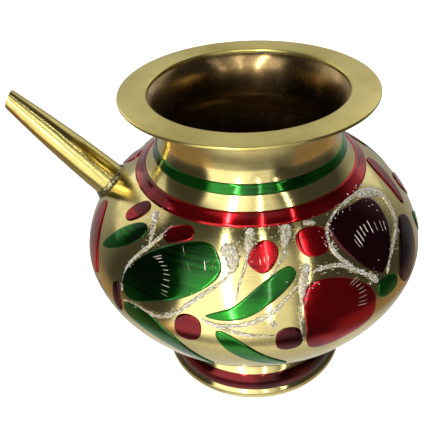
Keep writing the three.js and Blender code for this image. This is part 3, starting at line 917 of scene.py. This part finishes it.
class POT_OT_seams(bpy.types.Operator):
    """Run the filler behind the seams, under the rim and round the foot's collar"""

    bl_idname = "pot.seams"
    bl_label = "Seam braze"

    def execute(self, context):
        brass = context.scene.pot_brass
        metal = mixed_once(filler, "filler")
        for node, seam, proud, finish in (
            ("belly_seam_braze", 0, 0.45 * MM, metal),
            ("neck_seam_braze", NECK_SEAM - MM, 0.12 * MM, brass_inside(brass)),
        ):
            top = wall_run(seam - 2 * MM, seam + 2 * MM, 8, -WALL + 0.05 * MM)
            back = wall_run(seam + 1.7 * MM, seam - 1.7 * MM, 8, -WALL - proud)
            piece = spin_piece(top + back, brass.steps)
            finish_piece(piece, node.replace("_braze", "_filler"), [finish], "braze", node)
            smooth(piece, 60)
        for node, outline in (("rim_braze", rim_filler()), ("foot_braze", foot_filler())):
            piece = spin_piece(outline, brass.steps)
            finish_piece(piece, node.replace("_braze", "_filler"), [brass_outside(brass)], "braze", node)
            smooth(piece, 60)
        return {"FINISHED"}


def rim_filler():
    """A small fillet in the corner between the neck and the rim."""
    neck = wall_run(NECK_END - 1.9 * MM, NECK_END, 6, -0.1 * MM)
    edge = neck[-1][0]
    under = RIM_LOW.z + 0.1 * MM
    curve = bezier(
        (
            (edge + 1.7 * MM, under),
            (edge + 0.7 * MM, under - 0.5 * MM),
            (neck[0][0] + 0.5 * MM, neck[0][1] + 1.0 * MM),
            (neck[0][0] + 0.05 * MM, neck[0][1]),
        ),
        8,
    )
    return neck + [(edge, under)] + [tuple(p) for p in curve]


FOOT_MEETS = float(np.interp(FOOT_NECK_RADIUS, WALL_RADIUS[WALL_ALONG < 0], WALL_ALONG[WALL_ALONG < 0]))


def foot_filler():
    """The fillet that runs from the foot's collar out along the underside of the bowl."""
    bowl = wall_run(FOOT_MEETS + 5 * MM, FOOT_MEETS + 1.0 * MM, 8, -0.1 * MM)
    low = bowl[-1][1]
    curve = bezier(
        (
            (FOOT_NECK_RADIUS - 0.1 * MM, low - 4.2 * MM),
            (FOOT_NECK_RADIUS + 0.5 * MM, low - 2.2 * MM),
            (bowl[0][0] - 2.0 * MM, bowl[0][1] - 1.9 * MM),
            (bowl[0][0], bowl[0][1] - 0.1 * MM),
        ),
        12,
    )
    return bowl + [(FOOT_NECK_RADIUS - 0.1 * MM, low)] + [tuple(p) for p in curve]


class POT_OT_neck_and_rim(bpy.types.Operator):
    """Spin the neck and turn the flat rim"""

    bl_idname = "pot.neck_and_rim"
    bl_label = "Neck and rim"

    def execute(self, context):
        brass = context.scene.pot_brass
        outside = wall_run(NECK_SEAM, NECK_END, 44)
        inside = wall_run(NECK_END, NECK_SEAM, 44, -WALL)
        mouth = NECK_RADIUS + NECK_FLARE - WALL - 0.5 * MM
        inside[0] = (mouth, NECK_TOP)
        piece = spin_piece(outside + inside, brass.steps)
        finish_piece(
            piece, "neck", [brass_outside(brass), brass_inside(brass)], "brass_polished", "neck_collar"
        )
        line_inside(piece)
        smooth(piece)
        under = RIM_LOW.z - 0.3 * MM
        outline = [
            (mouth, under),
            (mouth + 4 * MM, under),
            (RIM_RADIUS - 0.5 * MM, RIM_HIGH.z - 1.1 * MM),
            (RIM_RADIUS, RIM_HIGH.z - 0.8 * MM),
            (RIM_RADIUS, RIM_HIGH.z - 0.3 * MM),
            (RIM_RADIUS - 0.35 * MM, RIM_HIGH.z),
            (mouth + 0.5 * MM, RIM_HIGH.z - 0.15 * MM),
            (mouth, RIM_HIGH.z - 0.6 * MM),
        ]
        piece = spin_piece(outline, brass.steps)
        round_edges(piece, brass.rounding, 3, 20)
        satin = spun_brass("satin_brass", brass.satin, [0.8 * c for c in brass.satin], 0.42, 0.02, 0.5)
        finish_piece(piece, "rim", [satin], "brass_satin", "rim_flange")
        smooth(piece)
        return {"FINISHED"}


class POT_OT_foot(bpy.types.Operator):
    """Spin the flared foot"""

    bl_idname = "pot.foot"
    bl_label = "Foot"

    def execute(self, context):
        brass = context.scene.pot_brass
        collar = wall_point(FOOT_MEETS, 0)[1]
        rise = collar - FOOT_BAND_TOP
        outside = [
            (FOOT_RADIUS - 0.4 * MM, 0),
            (FOOT_RADIUS, 0.5 * MM),
            (FOOT_RADIUS, FOOT_LIP - 0.9 * MM),
            (FOOT_RADIUS - 0.9 * MM, FOOT_LIP),
            (FOOT_BAND_RADIUS, FOOT_BAND_TOP),
            (FOOT_BAND_RADIUS - 0.6 * MM, FOOT_BAND_TOP + 0.09 * rise),
            ((FOOT_BAND_RADIUS + FOOT_NECK_RADIUS) / 2 - 0.6 * MM, FOOT_BAND_TOP + 0.27 * rise),
            (FOOT_NECK_RADIUS, FOOT_BAND_TOP + 0.52 * rise),
            (FOOT_NECK_RADIUS, collar),
        ]
        inside = [(radius - FOOT_WALL, height) for radius, height in outside[:2:-1]]
        lip = [(FOOT_RADIUS - 2.8 * MM, 1.2 * MM), (FOOT_RADIUS - 2.4 * MM, 0)]
        piece = spin_piece(outside + inside + lip, brass.steps)
        round_edges(piece, brass.rounding, 3, 14)
        finish_piece(piece, "foot", [brass_outside(brass)], "brass_polished", "foot_ring")
        smooth(piece, 30)
        return {"FINISHED"}


class POT_OT_spout(bpy.types.Operator):
    """Turn the tapered spout, cut its tip on the slant and braze it on"""

    bl_idname = "pot.spout"
    bl_label = "Spout"

    def execute(self, context):
        brass = context.scene.pot_brass
        root, direction, over = spout_frame()
        reach = SPOUT_LENGTH + SPOUT_RADII[2]
        sunk = -1.4 * MM
        # Radius along the spout through its three known radii.
        fit = np.polyfit([0, SPOUT_LENGTH / 2, SPOUT_LENGTH], SPOUT_RADII, 2)
        places = np.linspace(sunk, reach, 40)
        radii = np.polyval(fit, places)
        outline = list(zip(radii, places)) + list(zip(radii[::-1] - SPOUT_WALL, places[::-1]))
        points = [root + direction * place + over * radius for radius, place in outline]
        piece = spin_chain(points + [points[0].copy()], root, direction, 64)
        bpy.ops.object.mode_set(mode="EDIT")
        bpy.ops.mesh.select_all(action="SELECT")
        cut = math.radians(SPOUT_TIP_CUT)
        # The cut leans back underneath, so the upper lip reaches furthest.
        plane = direction * math.cos(cut) - over * math.sin(cut)
        bpy.ops.mesh.bisect(
            plane_co=root + direction * SPOUT_LENGTH, plane_no=plane, use_fill=True, clear_outer=True
        )
        bpy.ops.object.mode_set(mode="OBJECT")
        round_edges(piece, 0.12 * MM, 2, 50)
        deep = [0.7 * c for c in brass.dull]
        drawn = spun_brass("drawn_brass", brass.satin, deep, 0.24, 0.003, 1.2, direction)
        finish_piece(piece, "spout", [drawn, brass_inside(brass)], "brass_polished", "spout_tube")
        for face in piece.data.polygons:
            away = face.center - root
            across = away - direction * away.dot(direction)
            if face.normal.dot(across) < -0.3 * across.length:
                face.material_index = 1
        smooth(piece)
        self.braze(root, direction, over)
        return {"FINISHED"}

    def braze(self, root, direction, over):
        """The lump of filler round the root, lower and rougher where it ran."""
        radius = SPOUT_RADII[0]
        # Distance out from the tube and along it, in millimetres.
        outline = (
            (-0.3, 1.5), (0.05, 1.2), (0.3, 0.6), (0.7, -0.1),
            (1.2, -0.8), (1.4, -1.4), (1.1, -1.9), (-0.3, -1.3),
        )
        points = [root + direction * (place * MM) + over * (radius + out * MM) for out, place in outline]
        piece = spin_chain(points + [points[0].copy()], root, direction, 72)
        metal = mixed_once(filler, "filler")
        rough = piece.modifiers.new("finer", "SUBSURF")
        rough.levels = rough.render_levels = 1
        apply(piece, rough)
        clouds = bpy.data.textures.new("lumps", "CLOUDS")
        clouds.noise_scale = 1.6 * MM
        lumps = piece.modifiers.new("lumps", "DISPLACE")
        lumps.texture = clouds
        lumps.texture_coords = "LOCAL"
        lumps.strength = 0.6 * MM
        lumps.mid_level = 0.55
        apply(piece, lumps)
        finish_piece(piece, "spout_filler", [metal], "braze", "spout_root_braze")
        smooth(piece, 180)


def enamel_material(tone, turned=False):
    name = tone + ("_ring_lacquer" if turned else "_lacquer")
    bright = getattr(bpy.context.scene.pot_enamel, tone)
    return mixed_once(lacquer, name, bright, [0.12 * c for c in bright], turned)


class POT_OT_bands(bpy.types.Operator):
    """Lay the enamel rings of the shoulder and the foot"""

    bl_idname = "pot.bands"
    bl_label = "Enamel rings"

    def execute(self, context):
        steps = context.scene.pot_brass.steps
        thickness = context.scene.pot_enamel.thickness
        for node, tone, span in (
            ("green_neck_band", "green", GREEN_BAND),
            ("red_shoulder_band", "red", RED_BAND),
        ):
            edge = 0.3 * MM
            top = wall_run(span[0] + edge, span[1] - edge, 8, thickness)
            outline = [*wall_run(*span, 8, -0.2 * MM)][::-1]
            outline += [wall_point(span[0], 0.02 * MM), *top, wall_point(span[1], 0.02 * MM)]
            self.ring(node, tone, tone, outline, steps)
        low = np.array([FOOT_RADIUS - 0.9 * MM, FOOT_LIP])
        high = np.array([FOOT_BAND_RADIUS, FOOT_BAND_TOP])
        out = np.array([high[1] - low[1], low[0] - high[0]])
        out /= np.linalg.norm(out)
        shares = ((0.02, -0.2), (0.02, 0.02), (0.09, 1), (0.5, 1), (0.91, 1), (0.99, 0.02), (0.99, -0.2))
        outline = [low + (high - low) * share + out * thickness * lift for share, lift in shares]
        self.ring("red_foot_band", "red", "crimson", outline, steps)
        return {"FINISHED"}

    def ring(self, node, slot, tone, outline, steps):
        piece = spin_piece([tuple(p) for p in outline], steps)
        lacquered = [enamel_material(tone, turned=True)]
        finish_piece(piece, node.replace("_band", "_ring"), lacquered, "enamel_" + slot, node)
        smooth(piece, 50)


# Motifs of a deeper tone than their slot's
DEEPER = {"left_dot": "crimson", "right_dot": "crimson"}


SIDES = (("front", 0.0), ("back", BACK_TURN))


class POT_OT_motifs(bpy.types.Operator):
    """Flood the leaves, petals and drops with lacquer"""

    bl_idname = "pot.motifs"
    bl_label = "Enamel motifs"

    def execute(self, context):
        thickness = context.scene.pot_enamel.thickness
        for side, turn in SIDES:
            for name, (tone, *stroke) in {**ENAMELS, **LOOSE_ENAMELS}.items():
                piece = enamel_patch(name, stroke, turn, thickness)
                node = side + "_" + name
                nodes = [node] if name in ENAMELS else []
                finish = enamel_material(DEEPER.get(name, tone))
                finish_piece(piece, node + "_lacquer", [finish], "enamel_" + tone, *nodes)
        return {"FINISHED"}


class POT_OT_cuts(bpy.types.Operator):
    """Cut the rows of bare brass across the largest petals, coloured pale as a painted glint"""

    bl_idname = "pot.cuts"
    bl_label = "Graver's cuts"

    def execute(self, context):
        metal = mixed_once(cut_brass_painted_glint, "cut_brass_painted_glint")
        lift = context.scene.pot_enamel.thickness
        rng = np.random.default_rng(5)
        for side, turn in SIDES:
            for name, (row, focus, length, count) in CUTS.items():
                cuts = []
                places, _ = along_spine(row, np.linspace(0, 1, count))
                for azimuth, along in places:
                    per_degree = math.pi / 180 * wall_point(along)[0]
                    away = Vector(((azimuth - focus[0]) * per_degree, along - focus[1] * MM)).normalized()
                    half = length * MM / 2 * rng.uniform(0.6, 1.15)
                    ends = [
                        (azimuth + s * away.x * half / per_degree, (along + s * away.y * half) / MM)
                        for s in (-1, 1)
                    ]
                    cuts.append(self.cut((ends, rng.uniform(0.07, 0.13), (0.7, 0.7)), turn, lift))
                piece = join(cuts)
                finish_piece(piece, side + "_" + name, [metal], "brass_polished")
                smooth(piece, 60)
        return {"FINISHED"}

    def cut(self, stroke, turn, lift):
        patch, u, v = grid_patch("cut", 6, 2)
        azimuth, along, width = stroke_place(stroke, turn, u, v)
        set_places(patch, body_point(azimuth, along, lift + 0.05 * MM + 0.05 * MM * (1 - v**2)))
        close_ends(patch)
        face_out(patch)
        thicken(patch, 0.12 * MM)
        return patch


class POT_OT_glitter(bpy.types.Operator):
    """Draw the glitter lines and scatter their flakes"""

    bl_idname = "pot.glitter"
    bl_label = "Glitter lines"

    def execute(self, context):
        glitter = context.scene.pot_glitter
        bed = glue_bed("glitter_glue", glitter.glue)
        foil = flake_foil("glitter_foil", glitter.silver)
        for side, turn in SIDES:
            for name, strokes in {**GLITTERS, **LOOSE_GLITTERS}.items():
                rng = np.random.default_rng(glitter.seed + len(name))
                strokes = [(spine, half * glitter.slim, taper) for spine, half, taper in strokes]
                lines = [glitter_stroke(stroke, turn, glitter.height, rng) for stroke in strokes]
                line = join(lines)
                smooth(line, 60)
                line.data.materials.append(bed)
                line.data.materials.append(foil)
                flakes = flakes_on(strokes, turn, glitter.height, glitter.flake, glitter.per_area, rng)
                flakes.data.materials.append(foil)
                piece = join([line, flakes])
                node = side + "_glitter_" + name
                nodes = [node] if name in GLITTERS else []
                finish_piece(piece, node + "_line", [], "glitter_silver", *nodes)
        return {"FINISHED"}


FLOOR_SIZE = 3.0
FLOOR_DROP = 0.05 * MM
BACKDROP_RADIUS = 1.45

# The room that the brass mirrors. Each pair says where a part of it fades in along one axis of a direction.
ROOM_GLOW = 0.05
BACK_FADE = (0.15, 0.8)
BACK_CLIMB = (-0.1, 0.5)
BACK_GLOW = 0.3
FRONT_FADE = (0.2, 0.6)
CLOTH_FADE = (0.5, 0.75)
CLOTH_SIDES = (0.2, 0.7)
CLOTH_SIDE_LOSS = 0.65
CLOTH_GLOW = 0.4
WINDOW_LEAN = 0.14
WINDOW_LEFT = (-0.8, -0.73)
WINDOW_RIGHT = (0.26, 0.46)
WINDOW_SILL = (-0.56, -0.38)
WINDOW_HEAD = (0.86, 0.96)
WINDOW_GLOW = 1.5
WINDOW_LOSS = 0.7
WINDOW_LOSS_FADE = (-0.2, 0.1)
UNDER_FADE = (0.6, 0.9)
UNDER_GLOW = 0.55
SIDE_FADE = (0.3, 0.55)
SIDE_START = (0.25, 0.5)
SIDE_END = (0.6, 0.8)
SIDE_GLOW = 0.24
WHITE = (1.0, 1.0, 1.0)
SIDE_WARMTH = (1.0, 0.66, 0.42)

# Strip lights, each with its place across the pot, its width and its power.
STRIPS = ((-0.21, 0.03, 1.9), (0.075, 0.018, 0.5), (0.36, 0.022, 0.55))
STRIP_LENGTH = 1.0
STRIP_DISTANCE = 0.66
STRIP_ELEVATION = 38.0

# Soft panels, each with its azimuth, elevation, width, height and power.
PANELS = ((-125, 30, 0.5, 0.5, 0.5), (140, 30, 0.4, 0.5, 0.2))
PANEL_DISTANCE = 0.7


class POT_OT_stage(bpy.types.Operator):
    """Set the camera, the paper and the lights"""

    bl_idname = "pot.stage"
    bl_label = "Studio"

    def execute(self, context):
        studio = context.scene.pot_studio
        self.camera(context.scene, studio)
        self.floor(studio)
        self.world(context.scene)
        self.lights()
        context.scene.view_settings.view_transform = "Standard"
        return {"FINISHED"}

    def camera(self, scene, studio):
        data = bpy.data.cameras.new("camera")
        data.lens = studio.lens
        data.clip_start = 5 * MM
        camera = bpy.data.objects.new("camera", data)
        scene.collection.objects.link(camera)
        scene.camera = camera
        back = Vector((0, -math.cos(studio.elevation), math.sin(studio.elevation)))
        right = Vector((1, 0, 0))
        up = back.cross(right)
        turned = right * math.cos(studio.roll) + up * math.sin(studio.roll)
        raised = up * math.cos(studio.roll) - right * math.sin(studio.roll)
        place = AXIS + Vector(studio.aim) + back * studio.distance
        camera.matrix_world = Matrix.Translation(place) @ Matrix((turned, raised, back)).transposed().to_4x4()

    def floor(self, studio):
        start_fresh()
        bpy.ops.mesh.primitive_plane_add(size=FLOOR_SIZE, location=(0, 0, -FLOOR_DROP))
        floor = bpy.context.object
        floor.name = "floor"
        floor.data.materials.append(pale_floor("paper", studio.floor))
        # The mirror-bright brass sees the dim room instead of the glare of the paper.
        floor.visible_glossy = False
        start_fresh()
        bpy.ops.mesh.primitive_uv_sphere_add(
            segments=96, ring_count=48, radius=BACKDROP_RADIUS, location=AXIS
        )
        backdrop = bpy.context.object
        backdrop.name = "backdrop"
        backdrop.data.materials.append(floor.data.materials[0])
        # It only closes the view behind the pot, and lets the light of the room through.
        backdrop.visible_glossy = backdrop.visible_diffuse = backdrop.visible_shadow = False

    def world(self, scene):
        """The dim room that the brass mirrors: paper behind and under it, and a tall window in front."""
        world = bpy.data.worlds.new("studio")
        scene.world = world
        world.use_nodes = True
        sky = Shading(world.node_tree)
        x, y, z = sky.parts(sky.node("TexCoord", output="Generated"))
        behind = y.between(*BACK_FADE) * (z.between(*BACK_CLIMB) * BACK_GLOW + BACK_GLOW)
        ahead = (0 - y).between(*FRONT_FADE)
        low = 0 - z
        edges = (x * x).between(*CLOTH_SIDES) * CLOTH_SIDE_LOSS
        cloth = ahead * low.between(*CLOTH_FADE) * (1 - edges) * CLOTH_GLOW
        # The window's left edge leans in as it rises.
        window = (x - z.math("MAXIMUM", 0) * WINDOW_LEAN).between(*WINDOW_LEFT)
        window = window * (1 - x.between(*WINDOW_RIGHT)) * z.between(*WINDOW_SILL)
        window = window * (1 - z.between(*WINDOW_HEAD)) * ahead
        lit = window * (WINDOW_GLOW - x.between(*WINDOW_LOSS_FADE) * WINDOW_LOSS)
        under = low.between(*UNDER_FADE) * UNDER_GLOW
        beside = (x * x).between(*SIDE_FADE) * low.between(*SIDE_START) * (1 - low.between(*SIDE_END))
        glow = behind + cloth + lit + under + beside * SIDE_GLOW + ROOM_GLOW
        background = world.node_tree.nodes["Background"]
        sky.feed(background.inputs["Strength"], glow)
        sky.feed(background.inputs["Color"], sky.mix(beside, colour(WHITE), colour(SIDE_WARMTH)))

    def lights(self):
        """Three long strips that run from low in front up over the pot, and soft panels."""
        for across, width, power in STRIPS:
            away = self.toward(0, STRIP_ELEVATION)
            place = away * STRIP_DISTANCE + Vector((across, 0, 0))
            self.panel(place, away, width, STRIP_LENGTH, power)
        for azimuth, elevation, width, height, power in PANELS:
            away = self.toward(azimuth, elevation)
            self.panel(away * PANEL_DISTANCE, away, width, height, power)

    def toward(self, azimuth, elevation):
        """Unit direction from an azimuth and an elevation in degrees."""
        a, e = math.radians(azimuth), math.radians(elevation)
        return Vector((math.sin(a) * math.cos(e), -math.cos(a) * math.cos(e), math.sin(e)))

    def panel(self, place, away, width, height, power):
        data = bpy.data.lights.new("panel", "AREA")
        data.shape = "RECTANGLE"
        data.size = width
        data.size_y = height
        data.energy = power
        light = bpy.data.objects.new("panel", data)
        bpy.context.scene.collection.objects.link(light)
        light.location = AXIS + Vector((0, 0, BELLY_HEIGHT)) + place
        light.rotation_euler = (-away).to_track_quat("-Z", "Y").to_euler()


class POT_PT_panel(bpy.types.Panel):
    """Sidebar panel of the pot"""

    bl_idname = "POT_PT_panel"
    bl_label = "Spouted Brass Pot"
    bl_space_type = "VIEW_3D"
    bl_region_type = "UI"
    bl_category = "Pot"

    def draw(self, context):
        layout = self.layout
        for name, group in SETTINGS.items():
            box = layout.box()
            box.label(text=group.__doc__)
            settings = getattr(context.scene, name)
            for key in group.__annotations__:
                box.prop(settings, key)
        for operator in OPERATORS:
            layout.operator(operator.bl_idname)


SETTINGS = {
    "pot_brass": PotBrassSettings,
    "pot_enamel": PotEnamelSettings,
    "pot_glitter": PotGlitterSettings,
    "pot_studio": PotStudioSettings,
}
OPERATORS = (
    POT_OT_stage,
    POT_OT_body,
    POT_OT_seams,
    POT_OT_neck_and_rim,
    POT_OT_foot,
    POT_OT_spout,
    POT_OT_bands,
    POT_OT_motifs,
    POT_OT_cuts,
    POT_OT_glitter,
)


def register():
    for made in (*SETTINGS.values(), *OPERATORS, POT_PT_panel):
        bpy.utils.register_class(made)
    for name, group in SETTINGS.items():
        setattr(bpy.types.Scene, name, PointerProperty(type=group))


def unregister():
    for name in SETTINGS:
        delattr(bpy.types.Scene, name)
    for made in reversed((*SETTINGS.values(), *OPERATORS, POT_PT_panel)):
        bpy.utils.unregister_class(made)


def main():
    register()
    for operator in OPERATORS:
        group, name = operator.bl_idname.split(".")
        getattr(getattr(bpy.ops, group), name)()


if __name__ == "__main__":
    main()
